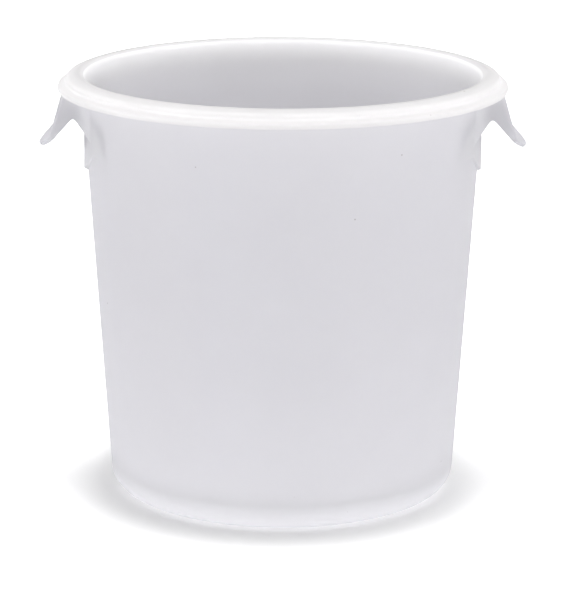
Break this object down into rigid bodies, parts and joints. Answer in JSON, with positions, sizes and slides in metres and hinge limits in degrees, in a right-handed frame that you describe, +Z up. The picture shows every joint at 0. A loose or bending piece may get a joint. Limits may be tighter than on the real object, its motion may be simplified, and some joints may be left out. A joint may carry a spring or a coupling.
{
  "type": "round food storage container",
  "caption": "Round open plastic container with a tapered wall, a wide rounded rim with a lid lip, and a hood handle under the rim on each side.",
  "frame": {"origin": "middle of the underside, on the tub's axis, level with the foot ring that the container stands on", "axes": "+Z up along the tub's axis, X through the middles of the two handles"},
  "size_m": [0.363, 0.3334, 0.317],
  "materials": {
    "polyethylene": "satin, milky, slightly translucent white"
  },
  "bodies": {
    "root": {"base": "polyethylene", "side_wall": "polyethylene", "rim": "polyethylene", "handle_right": "polyethylene", "handle_left": "polyethylene", "grip_panel_right": "polyethylene", "grip_panel_left": "polyethylene"}
  },
  "joints": []
}
